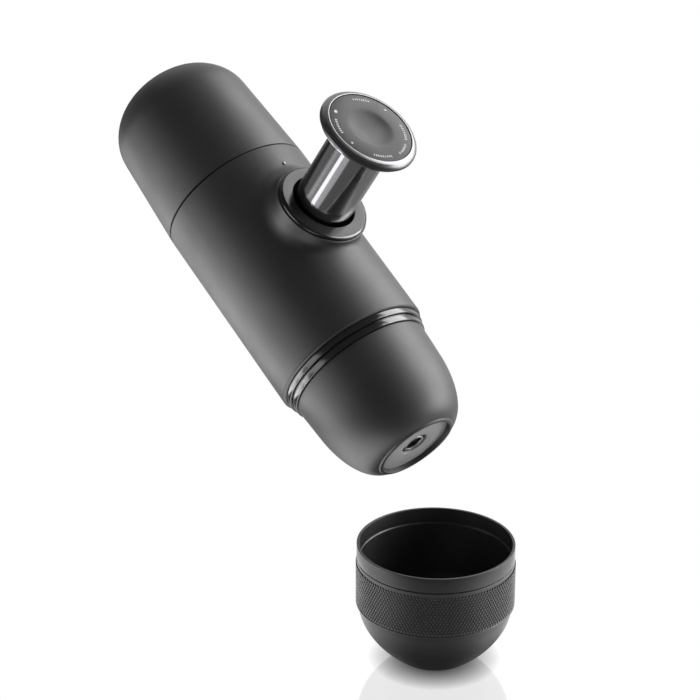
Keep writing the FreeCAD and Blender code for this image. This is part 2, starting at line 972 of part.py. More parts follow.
def basket_screen():
    low = basket_low + basket_floor
    radius = basket_r - basket_wall - seat_gap
    return perforated(radius, low, low + screen_thick, screen_hole_r)


# ---------------------------------------------------------------- cup


def bowl(radius, low, foot_r, foot_z):
    """Control points of the round bowl, from its side down to its foot."""
    drop = low - foot_z
    return (
        (radius - bowl_lean, low - bowl_fall * drop),
        (foot_r + bowl_reach * (radius - foot_r), foot_z + bowl_rise * drop),
        (foot_r, foot_z),
    )


def cup_shell():
    """Round-bottomed cup with a step inside the rim and a groove that seats the grip band."""
    groove_r = grip_seat_r - grip_groove_deep
    side_r = grip_seat_r + bowl_side_out
    side_low = grip_bottom - bowl_below_grip
    in_low = grip_bottom - bowl_in_below_grip
    rim_mid = cup_rim_r - cup_rim_wall / 2
    return turned(
        (0, 0),
        (cup_foot_r - cup_foot_in, 0),
        (cup_foot_r, cup_foot_round),
        upward(bowl(side_r, side_low, cup_foot_r, cup_foot_round), side_r, side_low),
        (side_r, grip_bottom - grip_groove),
        (groove_r, grip_bottom - grip_groove),
        (groove_r, grip_bottom),
        (grip_seat_r, grip_bottom),
        (grip_seat_r, grip_top),
        (groove_r, grip_top),
        (groove_r, grip_top + grip_groove),
        (cup_rim_r, grip_top + grip_groove),
        (cup_rim_r, cup_high - cup_rim_edge),
        ((rim_mid, cup_high), (cup_rim_in, cup_high - cup_rim_edge)),
        (cup_rim_in, cup_high - cup_ledge),
        (cup_in_r, cup_high - cup_ledge - cup_rim_edge),
        (cup_in_r, in_low),
        bowl(cup_in_r, in_low, cup_foot_r - cup_bottom_in, cup_floor),
        (0, cup_floor),
    )


def upward(points, radius, low):
    """The bowl's curve drawn the other way, from its foot up to its side."""
    return (points[1], points[0], (radius, low))


def grip_band():
    return turned(
        (grip_seat_r, grip_bottom),
        (grip_r - grip_edge, grip_bottom),
        (grip_r, grip_bottom + grip_edge),
        (grip_r, grip_top - grip_edge),
        (grip_r - grip_edge, grip_top),
        (grip_seat_r, grip_top),
    )


# ---------------------------------------------------------------- assembly

machine = [
    main_body,
    collar_ring,
    piston_guide,
    upper_deck,
    lower_deck,
    pump_housing,
    thread_collar,
    chassis_screws,
    screen_screw,
    inlet_valve,
    outlet_valve,
    intake_strainer,
    shower_screen,
    chamber_gasket,
    return_spring,
    plunger_rod,
    plunger_seal,
    piston_sleeve,
    knob_base,
    knob_rim,
    knob_inset,
    water_tank,
    tank_seal,
    outlet_head,
    spout_plate,
    spout_nozzle,
    spout_ring,
    filter_basket,
    basket_screen,
]
cup = [cup_shell, grip_band]

turn = FreeCAD.Rotation(Y, pour_tilt - 90) * FreeCAD.Rotation(Z, pour_roll)
nozzle_place = V(nozzle_ahead, nozzle_aside, cup_high + nozzle_above_rim)
lip_place = nozzle_place - turn.multVec(V(0, 0, -head_len))
pour = FreeCAD.Placement(lip_place, turn)

os.makedirs("parts", exist_ok=True)
for make in machine:
    solid = make()
    solid.transformShape(pour.toMatrix())
    solid.exportStep("parts/" + make.__name__ + ".step")
for make in cup:
    make().exportStep("parts/" + make.__name__ + ".step")
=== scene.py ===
import json
import math

import bpy
from mathutils import Matrix, Vector


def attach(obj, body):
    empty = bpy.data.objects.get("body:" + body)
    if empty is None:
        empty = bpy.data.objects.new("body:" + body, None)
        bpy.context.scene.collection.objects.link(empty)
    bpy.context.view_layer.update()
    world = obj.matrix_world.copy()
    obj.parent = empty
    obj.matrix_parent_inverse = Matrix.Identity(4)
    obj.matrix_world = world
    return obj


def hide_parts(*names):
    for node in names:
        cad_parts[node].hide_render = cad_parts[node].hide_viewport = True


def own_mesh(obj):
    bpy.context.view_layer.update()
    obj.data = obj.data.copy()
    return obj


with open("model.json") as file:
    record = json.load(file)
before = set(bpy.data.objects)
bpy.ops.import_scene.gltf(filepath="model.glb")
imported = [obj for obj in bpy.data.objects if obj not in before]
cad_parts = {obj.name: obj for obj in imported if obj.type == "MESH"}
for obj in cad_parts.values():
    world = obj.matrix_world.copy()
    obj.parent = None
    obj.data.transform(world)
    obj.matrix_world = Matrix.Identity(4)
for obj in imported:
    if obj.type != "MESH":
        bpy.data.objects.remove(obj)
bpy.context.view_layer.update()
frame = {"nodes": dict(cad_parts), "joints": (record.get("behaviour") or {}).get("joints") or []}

# Lengths are in millimetres in a piece's own space, and become metres when the piece is placed.
mm = 0.001

# ------------------------------------------------------------------ where things are

joints = {joint["name"]: joint for joint in frame["joints"]}
lip = Vector(joints["head_turn"]["pos_m"])
body_up = -Vector(joints["head_turn"]["axis"]).normalized()
piston_out = Vector(joints["piston_lock"]["axis"]).normalized()
piston_at = Vector(joints["piston_lock"]["pos_m"])


def space(origin, x_way, z_way):
    """The space with its Z along z_way and its X along x_way, counted in millimetres."""
    turn = Matrix((x_way, z_way.cross(x_way), z_way)).transposed()
    return Matrix.Translation(origin) @ turn.to_4x4() @ Matrix.Scale(mm, 4)


body_space = space(lip, piston_out, body_up)
piston_space = space(piston_at, body_up, piston_out)
cup_space = Matrix.Scale(mm, 4)

# ------------------------------------------------------------------ sizes and angles of the pieces

# In degrees: edges sharper than bevel_from are bevelled, and edges blunter than a smooth_ value are smooth.
bevel_from = 28
smooth_turned = 32
smooth_merged = 24
smooth_pips = 20

# Corners closer than these are one corner: in a drawn piece, and in a copy of a frame part.
merge_drawn = 0.004
merge_copied = 0.002

body_r = 29.0
body_len = 77.5
seam_gap = 0.15
tank_gap = 0.4

tank_len = 54.0
tank_top_r = 27.0
tank_shoulder = 16.8
tank_flat_r = 10.6
tank_wall = 2.2
tank_mouth_r = 26.6
tank_rib_z = 88.0
tank_rib_r = 25.1
tank_rib_thick = 1.3
tank_rib_root_r = 26.0
tank_roundness = 0.45
tank_side_lean = 0.4
tank_side_pull = 0.55

band_one_r = 27.9
band_one_low = -2.3
band_two_r = 27.1
band_two_low = -5.0
band_groove_low = -2.7
band_groove_r = 26.65
collar_in_r = 24.6
collar_root_r = 26.75
collar_root_z = 4.0
collar_bevel = 0.3

pip_z = 68.3
pip_top = 29.5
# The pale cap on the pip's crown is a painted highlight on its lit side.
dot_r = 0.5
dot_sunk = 0.2
dot_rise = 0.04

head_top = -5.14
head_r = 26.45
head_mid_r = 25.6
head_mid_z = -19.0
head_end_r = 15.3
head_end_z = -40.5
head_skin_in = 24.95
head_pocket_z = -26.5
head_tube_r = 22.35
head_tube_in = 20.4
head_tube_top = -6.0
head_rib_r = 22.9
head_root_r = 24.0
head_edge = 0.6
head_chamfer = 0.18
head_mid_lean = 0.9
head_end_spread = 5.4
head_end_rise = 2.2
recess_r = 13.8
plate_low = -38.9
plate_high = -36.9
plate_seat_r = 12.0
plate_seat_deep = 1.5
cone_top = -27.2

spout_r = 5.0
spout_face = -38.2
spout_ring_r = 3.9
spout_hole_r = 3.0
spout_ring_low = -38.55
spout_flange_r = 6.6
fit = 0.05

boss_top = 31.9
ring_r = 16.9
ring_hole_r = 11.9
ring_top = 33.7
ring_slope_wide = 0.9
ring_slope_deep = 0.55
ring_bevel = 0.3

sleeve_r = 10.75
sleeve_top = 65.7
knob_under = 67.7
knob_under_r = 17.4
knob_web = 0.4
knob_flare_rise = 0.3
hub_hole_r = 3.55
hub_r = 5.85
spigot_in_r = 8.6
spigot_r = 9.9
spigot_deep = 5.4
knob_floor = 68.7
knob_groove_top = 68.95
knob_groove_r = 16.9
knob_r = 18.15
knob_top = 71.55
knob_bevel = 0.95
rim_side_high = 0.9
rim_round_low = 1.1
rim_round_high = 0.5
rim_lip = 0.4
inset_r = 15.6
inset_gap = 0.15
inset_top = 71.35
inset_thick = 1.6
dish_r = 8.6
dish_deep = 0.8
dish_lip = 0.8
dish_pulls = (0.86, 0.72)
mark_r = 13.3
mark_step = 3.7
mark_high = 0.03
mark_sunk = 0.01
mark_tick = (0.2, 0.52)
# Runs of ticks as middle angle: number, and single dots as angle: half length and half width.
mark_runs = {340: 8, 76: 8, 163: 9, 210: 8, 250: 9}
lone_marks = {45: (0.8, 0.62), 111: (0.42, 0.42), 298: (0.42, 0.42)}

cup_high = 46.0
cup_rim_r = 28.1
cup_rim_in = 27.15
cup_in_r = 26.75
cup_ledge_z = 40.5
cup_foot_r = 10.5
cup_foot_rise = 0.15
cup_foot_edge = 0.6
cup_floor = 2.4
cup_ledge_slope = 0.4
bowl_proud = 0.15
bowl_gap = 0.8
bowl_in_gap = 1.5
bowl_side_lean = 0.5
bowl_side_pull = 0.43
bowl_foot_pull = (0.38, 0.14)
band_seat_r = 27.4
band_seam = 0.3
band_seam_deep = 0.2
grip_r = 28.4
grip_low = 23.0
grip_high = 40.3
grip_base_r = 28.12
grip_lip_high = 0.5
grip_lip_end = 0.65
pip_pitch = 1.25
pip_row = 1.05
pip_rows = 14
pip_first = 1.5
pip_foot = 0.62
pip_crown = 0.5
pip_long = 1.42
pip_narrow = 0.9
pip_sunk = 0.04

# ------------------------------------------------------------------ modelling helpers


def deselect():
    bpy.ops.object.select_all(action="DESELECT")


def finish_mesh():
    """Closes the edit: merges what meets, turns the faces outwards and leaves edit mode."""
    bpy.ops.mesh.select_all(action="SELECT")
    bpy.ops.mesh.remove_doubles(threshold=merge_drawn)
    bpy.ops.mesh.normals_make_consistent(inside=False)
    bpy.ops.object.mode_set(mode="OBJECT")


def apply_modifier(piece, kind, **settings):
    modifier = piece.modifiers.new(kind.lower(), kind)
    for name, value in settings.items():
        setattr(modifier, name, value)
    bpy.context.view_layer.objects.active = piece
    bpy.ops.object.modifier_apply(modifier=modifier.name)


def smooth(piece, degrees=smooth_turned):
    deselect()
    piece.select_set(True)
    bpy.context.view_layer.objects.active = piece
    bpy.ops.object.shade_smooth_by_angle(angle=math.radians(degrees))


def place(piece, where):
    """Puts a finished piece in the frame, with its place in its mesh."""
    deselect()
    piece.select_set(True)
    bpy.context.view_layer.objects.active = piece
    piece.matrix_world = where @ piece.matrix_world
    bpy.ops.object.transform_apply(location=True, rotation=True, scale=True)
    return piece


def curve(start, pull_a, pull_b, end, count=12):
    """Points along a Bezier curve, without its start."""
    points = []
    for i in range(1, count + 1):
        t = i / count
        s = 1 - t
        share = (s**3, 3 * s * s * t, 3 * s * t * t, t**3)
        ends = (start, pull_a, pull_b, end)
        points.append(tuple(sum(w * p[k] for w, p in zip(share, ends)) for k in (0, 1)))
    return points


def turned(name, outline, where, soften=0.15, steps=128, segments=3):
    """A turned piece: its outline (radius, height) is drawn point by point and spun round Z."""
    deselect()
    bpy.ops.mesh.primitive_plane_add(size=1)
    piece = bpy.context.object
    piece.name = name
    bpy.ops.object.mode_set(mode="EDIT")
    bpy.ops.mesh.merge(type="CENTER")
    bpy.ops.transform.translate(value=(outline[0][0], 0, outline[0][1]))
    closed = outline[0][0] > 0 and outline[-1][0] > 0
    trip = outline + outline[:1] if closed else outline
    for (r0, z0), (r1, z1) in zip(trip, trip[1:]):
        bpy.ops.mesh.extrude_vertices_move(TRANSFORM_OT_translate={"value": (r1 - r0, 0, z1 - z0)})
    bpy.ops.mesh.select_all(action="SELECT")
    bpy.ops.mesh.spin(steps=steps, angle=2 * math.pi, center=(0, 0, 0), axis=(0, 0, 1))
    finish_mesh()
    if soften:
        edges = {"limit_method": "ANGLE", "angle_limit": math.radians(bevel_from)}
        apply_modifier(piece, "BEVEL", width=soften, segments=segments, **edges)
    smooth(piece)
    return place(piece, where)


def merged_copy(name, node):
    """A copy of a frame part with its loose faces joined and its round faces shaded smooth."""
    deselect()
    source = frame["nodes"][node]
    piece = bpy.data.objects.new(name, source.data.copy())
    bpy.context.scene.collection.objects.link(piece)
    piece.data.materials.clear()
    piece.select_set(True)
    bpy.context.view_layer.objects.active = piece
    bpy.ops.object.mode_set(mode="EDIT")
    bpy.ops.mesh.select_all(action="SELECT")
    bpy.ops.mesh.remove_doubles(threshold=merge_copied * mm)
    bpy.ops.object.mode_set(mode="OBJECT")
    bpy.ops.mesh.customdata_custom_splitnormals_clear()
    smooth(piece, smooth_merged)
    return piece


# ------------------------------------------------------------------ materials


def linear(hex_colour):
    """An sRGB hex colour as linear red, green, blue and alpha."""
    parts = [int(hex_colour[i : i + 2], 16) / 255 for i in (1, 3, 5)]
    return tuple(c / 12.92 if c <= 0.04045 else ((c + 0.055) / 1.055) ** 2.4 for c in parts) + (1.0,)


def add(tree, kind, links=(), **settings):
    """Adds a node. Settings name its properties or inputs; links are (socket or even value, input)."""
    node = tree.nodes.new(kind)
    for name, value in settings.items():
        if hasattr(node, name):
            setattr(node, name, value)
        else:
            node.inputs[name.replace("_", " ")].default_value = value
    for source, target in links:
        if isinstance(source, bpy.types.NodeSocket):
            tree.links.new(source, node.inputs[target])
        else:
            node.inputs[target].default_value = source
    return node


def new_material(name, base, metallic=0.0, roughness=0.5, **shader):
    """A material with its shader's even values set on the shader itself."""
    material = bpy.data.materials.new(name)
    material.use_nodes = True
    tree = material.node_tree
    surface = tree.nodes["Principled BSDF"]
    surface.inputs["Base Color"].default_value = linear(base)
    surface.inputs["Metallic"].default_value = metallic
    surface.inputs["Roughness"].default_value = roughness
    for socket, value in shader.items():
        surface.inputs[socket.replace("_", " ")].default_value = value
    place_node = add(tree, "ShaderNodeTexCoord")
    return material, tree, surface, place_node.outputs["Object"]


def grain(tree, surface, where, size_mm, strength, depth_mm):
    """A moulded or blasted grain: bumps of size_mm across and depth_mm deep."""
    scale = 1 / (size_mm * mm)
    bumps = add(tree, "ShaderNodeTexNoise", [(where, "Vector")], Scale=scale, Detail=2.0, Roughness=0.5)
    height = [(bumps.outputs["Fac"], "Height")]
    bump = add(tree, "ShaderNodeBump", height, Strength=strength, Distance=depth_mm * mm)
    tree.links.new(bump.outputs["Normal"], surface.inputs["Normal"])


def uneven_gloss(tree, surface, amount, rough_a, rough_b):
    """Roughness that wanders between two values with the amount of a noise."""
    spread = {"From_Min": 0.3, "From_Max": 0.7, "To_Min": rough_a, "To_Max": rough_b}
    gloss = add(tree, "ShaderNodeMapRange", [(amount, "Value")], **spread)
    tree.links.new(gloss.outputs["Result"], surface.inputs["Roughness"])


def mottle(tree, surface, where, size_mm, colour_a, colour_b, rough_a, rough_b):
    """Slow changes of colour and gloss, as handling and moulding leave them."""
    scale = 1 / (size_mm * mm)
    blotches = add(tree, "ShaderNodeTexNoise", [(where, "Vector")], Scale=scale, Detail=3.0, Roughness=0.55)
    amount = blotches.outputs["Fac"]
    colours = [(amount, "Factor"), (linear(colour_a), 6), (linear(colour_b), 7)]
    tint = add(tree, "ShaderNodeMix", colours, data_type="RGBA")
    tree.links.new(tint.outputs[2], surface.inputs["Base Color"])
    uneven_gloss(tree, surface, amount, rough_a, rough_b)


def soft_touch_charcoal():
    """Soft-touch coated ABS: dark, dry, with a broad soft shine at the sides."""
    name = "soft touch coated ABS, charcoal"
    material, tree, surface, where = new_material(name, "#242425", roughness=0.5, IOR=1.6)
    mottle(tree, surface, where, 22.0, "#222223", "#272728", 0.46, 0.54)
    grain(tree, surface, where, size_mm=0.45, strength=0.12, depth_mm=0.02)
    return material


def moulded_grey(name, colour_a, colour_b):
    """Spark-finished plastic or dry ink, from black to pale grey: even, with no clear lights."""
    material, tree, surface, where = new_material(name, colour_a, roughness=0.5)
    mottle(tree, surface, where, 9.0, colour_a, colour_b, 0.46, 0.56)
    grain(tree, surface, where, size_mm=0.35, strength=0.15, depth_mm=0.02)
    return material


def gloss_black(name, base, roughness, shine=0.5):
    """Polished plastic straight from the mould: near black with clear lights."""
    material, tree, surface, where = new_material(name, base, roughness=roughness, Specular_IOR_Level=shine)
    mottle(tree, surface, where, 12.0, base, base, roughness * 0.8, roughness * 1.25)
    return material


def satin_black(name, base, roughness, shine):
    """Lacquered or blasted black: the light that it mirrors makes it grey, with a very fine grain."""
    material, tree, surface, where = new_material(name, base, roughness=roughness, Specular_IOR_Level=shine)
    mottle(tree, surface, where, 8.0, base, base, roughness * 0.85, roughness * 1.15)
    grain(tree, surface, where, size_mm=0.25, strength=0.08, depth_mm=0.01)
    return material


def polished_steel(name, base, roughness, along, line_long=14.0, line_wide=0.25):
    """Chromed, plated or drawn metal: fine lines, their sizes in mm, run round the way of along."""
    material, tree, surface, where = new_material(name, base, metallic=1.0, roughness=roughness)
    lines = add(tree, "ShaderNodeMapping", [(where, "Vector")], vector_type="TEXTURE")
    lines.inputs["Rotation"].default_value = along.to_track_quat("Z", "Y").to_euler()
    stretch = add(tree, "ShaderNodeMapping", [(lines.outputs["Vector"], "Vector")])
    coarse = 1 / (line_long * mm)
    stretch.inputs["Scale"].default_value = (coarse, coarse, 1 / (line_wide * mm))
    streaks = add(tree, "ShaderNodeTexNoise", [(stretch.outputs["Vector"], "Vector")], Scale=1.0, Detail=2.0)
    amount = streaks.outputs["Fac"]
    uneven_gloss(tree, surface, amount, roughness * 0.75, roughness * 1.3)
    bump = add(tree, "ShaderNodeBump", [(amount, "Height")], Strength=0.04, Distance=0.01 * mm)
    tree.links.new(bump.outputs["Normal"], surface.inputs["Normal"])
    return material


def rubber(name, colour_a, colour_b):
    """Moulded rubber: matt, faintly uneven."""
    material, tree, surface, where = new_material(name, colour_a, roughness=0.75)
    mottle(tree, surface, where, 6.0, colour_a, colour_b, 0.68, 0.82)
    grain(tree, surface, where, size_mm=0.3, strength=0.2, depth_mm=0.02)
    return material


charcoal = soft_touch_charcoal()
ring_black = satin_black("satin lacquered ABS, black", "#181818", 0.2, 0.24)
plate_grey = moulded_grey("spark finished polycarbonate, mid grey", "#868686", "#8e8e8e")
disc_black = satin_black("blasted polycarbonate, dark grey", "#1e1e1e", 0.3, 0.17)
inner_black = moulded_grey("moulded acetal, black", "#0e0e0e", "#121212")
collar_black = gloss_black("polished ABS, black", "#171717", 0.18, 0.9)
cup_black = gloss_black("fine matt polypropylene, black", "#1f1f1f", 0.36)
chrome = polished_steel("chromed steel, buffed", "#bcbcbe", 0.12, piston_out)
rim_metal = polished_steel("black chromed zinc, satin", "#747476", 0.3, piston_out)
steel = polished_steel("stainless steel, drawn", "#a8a8a8", 0.28, body_up)
screw_steel = polished_steel("zinc plated screw steel", "#9c9c9e", 0.35, body_up)
seal_black = rubber("nitrile rubber, black", "#191919", "#1e1e1e")
silicone = rubber("silicone rubber, grey", "#8a8a88", "#929290")
grip_rubber = satin_black("moulded elastomer, black", "#282828", 0.36, 0.62)
# Pale grey for the knob's printed marks, also used as a painted highlight on the pip's crown.
print_and_highlight_paint = moulded_grey("pad printed ink and painted highlight, pale grey", "#a9a9a9", "#b2b2b2")

# ------------------------------------------------------------------ turned pieces of the machine


def tank_piece():
    turn_z = body_len + tank_len - tank_shoulder
    top = body_len + tank_len
    low = body_len + tank_gap
    out_pull = (tank_flat_r + tank_roundness * (tank_top_r - tank_flat_r), top)
    in_r = tank_top_r - tank_wall
    in_pull = (tank_flat_r + tank_roundness * (in_r - tank_flat_r), top - tank_wall)
    side_pull = (tank_top_r - tank_side_lean, turn_z + tank_side_pull * tank_shoulder)
    in_side_pull = (in_r - tank_side_lean, turn_z + tank_side_pull * (tank_shoulder - tank_wall))
    rib_top = tank_rib_z + tank_rib_thick
    outline = [(tank_mouth_r, low), (body_r, low), (tank_top_r, turn_z)]
    outline += curve((tank_top_r, turn_z), side_pull, out_pull, (tank_flat_r, top), 16)
    outline += [(0, top), (0, top - tank_wall), (tank_flat_r, top - tank_wall)]
    outline += curve((tank_flat_r, top - tank_wall), in_pull, in_side_pull, (in_r, turn_z), 12)
    outline += [(tank_rib_root_r, rib_top + 1), (tank_rib_r, rib_top), (tank_rib_r, tank_rib_z)]
    outline += [(tank_mouth_r, tank_rib_z)]
    return turned("tank-shell", outline, body_space, soften=0.3)


def head_piece():
    end = head_end_z
    deep = head_mid_z - end
    outline = [(head_skin_in, head_top), (head_r, head_top), (head_mid_r, head_mid_z)]
    mid_pull = (head_mid_r - head_mid_lean, head_mid_z - deep / 2)
    end_pull = (head_end_r + head_end_spread, end + head_end_rise)
    outline += curve((head_mid_r, head_mid_z), mid_pull, end_pull, (head_end_r, end + head_edge), 24)
    outline += [(head_end_r - head_chamfer, end + head_chamfer), (head_end_r - head_edge, end)]
    outline += [(recess_r, end), (recess_r, plate_high), (plate_seat_r, plate_high)]
    outline += [(plate_seat_r, plate_high + plate_seat_deep), (head_tube_in - head_edge, cone_top)]
    outline += [(head_tube_in, cone_top + head_edge), (head_tube_in, head_tube_top)]
    outline += [(head_tube_r, head_tube_top), (head_tube_r, head_pocket_z), (head_rib_r, head_pocket_z)]
    outline += [(head_root_r, head_mid_z), (head_skin_in, head_mid_z + 2)]
    return turned("head-shell", outline, body_space, soften=0.22)


def collar_piece():
    outline = [
        (collar_in_r, band_two_low),
        (band_two_r, band_two_low),
        (band_two_r, band_groove_low),
        (band_groove_r, band_groove_low),
        (band_groove_r, band_one_low),
        (band_one_r, band_one_low),
        (band_one_r, -seam_gap),
        (collar_root_r, -seam_gap),
        (collar_root_r, collar_root_z),
        (collar_in_r, collar_root_z),
    ]
    return turned("two-band-collar", outline, body_space, soften=collar_bevel, segments=4)


def piston_ring_piece():
    slope_r = ring_r - ring_slope_wide
    outline = [(ring_hole_r, boss_top), (ring_r, boss_top), (ring_r, ring_top - ring_slope_deep)]
    outline += [(slope_r, ring_top), (ring_hole_r, ring_top)]
    return turned("piston-ring", outline, piston_space, soften=ring_bevel, segments=4)


def knob_base_piece():
    reach = knob_under - sleeve_top
    web_low = knob_under - knob_web
    spigot_low = sleeve_top - spigot_deep
    outline = [(0, web_low), (hub_hole_r, web_low), (hub_hole_r, spigot_low), (hub_r, spigot_low)]
    outline += [(hub_r, sleeve_top), (spigot_in_r, sleeve_top), (spigot_in_r, spigot_low)]
    outline += [(spigot_r, spigot_low), (spigot_r, sleeve_top), (sleeve_r, sleeve_top)]
    for i in range(1, 13):
        angle = math.radians(90 * i / 12)
        outline.append((sleeve_r + reach * (1 - math.cos(angle)), sleeve_top + reach * math.sin(angle)))
    outline += [(knob_under_r, knob_under + knob_flare_rise), (knob_under_r, knob_floor), (0, knob_floor)]
    return turned("knob-underside", outline, piston_space, soften=0.12)


def knob_rim_piece():
    floor = inset_top - inset_thick
    outline = [
        (0, knob_floor),
        (knob_groove_r, knob_floor),
        (knob_groove_r, knob_groove_top),
        (knob_r, knob_groove_top),
        (knob_r, knob_groove_top + rim_side_high),
        (knob_r - 0.35 * knob_bevel, knob_top - rim_round_low),
        (knob_r - knob_bevel, knob_top - rim_round_high),
        (inset_r + rim_lip, knob_top),
        (inset_r + fit, knob_top),
        (inset_r + fit, floor),
        (0, floor),
    ]
    return turned("knob-rim", outline, piston_space, soften=0.16)


def knob_disc_piece():
    low = inset_top - inset_thick
    side_r = inset_r - inset_gap
    floor = inset_top - dish_deep
    edge = (dish_r + dish_lip, inset_top)
    outline = [(0, low), (side_r, low), (side_r, inset_top), edge]
    pull_a = (dish_pulls[0] * dish_r, inset_top)
    pull_b = (dish_pulls[1] * dish_r, floor)
    outline += curve(edge, pull_a, pull_b, (0, floor), 18)
    return turned("knob-disc", outline, piston_space, soften=0.1)


def plate_piece():
    hole_r = spout_r + fit
    edge_r = recess_r - fit
    outline = [(hole_r, plate_low), (edge_r, plate_low), (edge_r, plate_high), (hole_r, plate_high)]
    return turned("spout-plate", outline, body_space, soften=0.2)


def nozzle_piece():
    outline = [
        (spout_hole_r, spout_face + 1),
        (spout_ring_r + fit, spout_face + 1),
        (spout_ring_r + fit, spout_face),
        (spout_r, spout_face),
        (spout_r, plate_high),
        (spout_flange_r, plate_high),
        (spout_flange_r, plate_high + 1),
        (spout_hole_r, plate_high + 1),
    ]
    return turned("spout-nozzle", outline, body_space, soften=0.12, steps=64)


def spout_ring_piece():
    outline = [
        (spout_hole_r, spout_ring_low),
        (spout_ring_r, spout_ring_low),
        (spout_ring_r, spout_face + 1),
        (spout_hole_r, spout_face + 1),
    ]
    return turned("spout-ring", outline, body_space, soften=0.15, steps=64)


def pip_highlight_piece():
    """A painted highlight: a pale cap on the crown of the small moulded pip above the boss, where its lit
    side shows.
    """
    where = space(body_space @ Vector((pip_top, 0, pip_z)), body_up, piston_out)
    outline = [(0, -dot_sunk), (dot_r, -dot_sunk), (0.84 * dot_r, -dot_rise)]
    outline += [(0.4 * dot_r, 0.75 * dot_rise), (0, dot_rise)]
    return turned("pip-dot", outline, where, soften=0.0, steps=32)


# ------------------------------------------------------------------ cup


def bowl(radius, low, foot_r, foot_z, count):
    """The round bowl from its side down to its foot."""
    drop = low - foot_z
    pull_out, pull_up = bowl_foot_pull
    pull_a = (radius - bowl_side_lean, low - bowl_side_pull * drop)
    pull_b = (foot_r + pull_out * (radius - foot_r), foot_z + pull_up * drop)
    return curve((radius, low), pull_a, pull_b, (foot_r, foot_z), count)


def cup_piece():
    side_r = band_seat_r + bowl_proud
    groove_r = band_seat_r - band_seam_deep
    bowl_high = grip_low - bowl_gap
    bowl_in_high = grip_low - bowl_in_gap
    seam_low = grip_low - band_seam
    seam_high = grip_high + band_seam
    outline = [(0, 0), (cup_foot_r - cup_foot_edge, 0), (cup_foot_r, cup_foot_rise)]
    outline += bowl(side_r, bowl_high, cup_foot_r, cup_foot_rise, 20)[-2::-1]
    outline += [(side_r, bowl_high), (side_r, seam_low), (groove_r, seam_low), (groove_r, grip_low)]
    outline += [(band_seat_r, grip_low), (band_seat_r, grip_high), (groove_r, grip_high)]
    outline += [(groove_r, seam_high), (cup_rim_r, seam_high), (cup_rim_r, cup_high)]
    outline += [(cup_rim_in, cup_high), (cup_rim_in, cup_ledge_z), (cup_in_r, cup_ledge_z - cup_ledge_slope)]
    outline += [(cup_in_r, bowl_in_high)]
    outline += bowl(cup_in_r, bowl_in_high, cup_foot_r - 1, cup_floor, 20)
    outline += [(0, cup_floor)]
    return turned("cup-shell", outline, cup_space, soften=0.25)


def grip_base():
    """The band under the pips, with a low lip round its lower edge."""
    outline = [(band_seat_r, grip_low), (grip_r, grip_low), (grip_r, grip_low + grip_lip_high)]
    outline += [(grip_base_r, grip_low + grip_lip_end), (grip_base_r, grip_high - band_seam)]
    outline += [(grip_base_r, grip_high), (band_seat_r, grip_high)]
    return turned("grip-band", outline, cup_space, soften=0.1)


def grip_pips():
    """Small blunt pyramids all round the band, each row half a pitch on from the one below."""
    around = round(2 * math.pi * grip_r / pip_pitch)
    first = grip_low + pip_first
    pip_deep = grip_r - grip_base_r + pip_sunk
    deselect()
    bpy.ops.mesh.primitive_cone_add(vertices=4, radius1=pip_foot, radius2=pip_crown, depth=pip_deep)
    pip = bpy.context.object
    pip.name = "grip-pips"
    bpy.ops.object.transform_apply(location=True, rotation=True, scale=True)
    bpy.ops.object.mode_set(mode="EDIT")
    bpy.ops.mesh.select_all(action="SELECT")
    bpy.ops.transform.resize(value=(pip_long, pip_narrow, 1.0))
    bpy.ops.object.mode_set(mode="OBJECT")
    out = Matrix.Rotation(math.radians(90), 4, "Y")
    pip.data.transform(Matrix.Translation(((grip_r + grip_base_r - pip_sunk) / 2, 0, first)) @ out)
    turn_helper = bpy.data.objects.new("pip turn", None)
    bpy.context.scene.collection.objects.link(turn_helper)
    turn_helper.rotation_euler = (0, 0, 2 * math.pi / around)
    bpy.context.view_layer.update()
    turned_on = {"use_relative_offset": False, "use_object_offset": True, "offset_object": turn_helper}
    apply_modifier(pip, "ARRAY", count=around, **turned_on)
    turn_helper.rotation_euler = (0, 0, math.pi / around)
    turn_helper.location = (0, 0, pip_row)
    bpy.context.view_layer.update()
    apply_modifier(pip, "ARRAY", count=2, **turned_on)
    higher = {"use_relative_offset": False, "use_constant_offset": True}
    higher["constant_offset_displace"] = (0, 0, 2 * pip_row)
    apply_modifier(pip, "ARRAY", count=pip_rows // 2, **higher)
    bpy.data.objects.remove(turn_helper)
    smooth(pip, smooth_pips)
    return place(pip, cup_space)


# ------------------------------------------------------------------ knob marks


def disc_mark(angle, half_long, half_wide):
    """A flat printed mark on the knob's disc: half_long is the way round, half_wide outwards."""
    deselect()
    bpy.ops.mesh.primitive_circle_add(vertices=20, radius=1, fill_type="NGON")
    mark = bpy.context.object
    bpy.ops.object.mode_set(mode="EDIT")
    bpy.ops.mesh.select_all(action="SELECT")
    bpy.ops.transform.resize(value=(half_wide, half_long, 1))
    bpy.ops.mesh.extrude_region_move(TRANSFORM_OT_translate={"value": (0, 0, mark_high)})
    finish_mesh()
    out = Matrix.Translation((mark_r, 0, inset_top - mark_sunk))
    mark.data.transform(Matrix.Rotation(math.radians(angle), 4, "Z") @ out)
    return mark


def join(pieces, name):
    deselect()
    for piece in pieces:
        piece.select_set(True)
    bpy.context.view_layer.objects.active = pieces[0]
    bpy.ops.object.join()
    pieces[0].name = name
    return pieces[0]


def knob_marks():
    """Generic printed marks: five runs of small ticks, with two small dots and a large one between them."""
    marks = [disc_mark(at, *size) for at, size in lone_marks.items()]
    for middle, count in mark_runs.items():
        for k in range(count):
            angle = middle + mark_step * (k - (count - 1) / 2)
            marks.append(disc_mark(angle, *mark_tick))
    return place(join(marks, "knob-marks"), piston_space)


# ------------------------------------------------------------------ return spring


def shortens(spring):
    """Gives the spring a mesh of its own."""
    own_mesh(spring)


# ------------------------------------------------------------------ putting it together


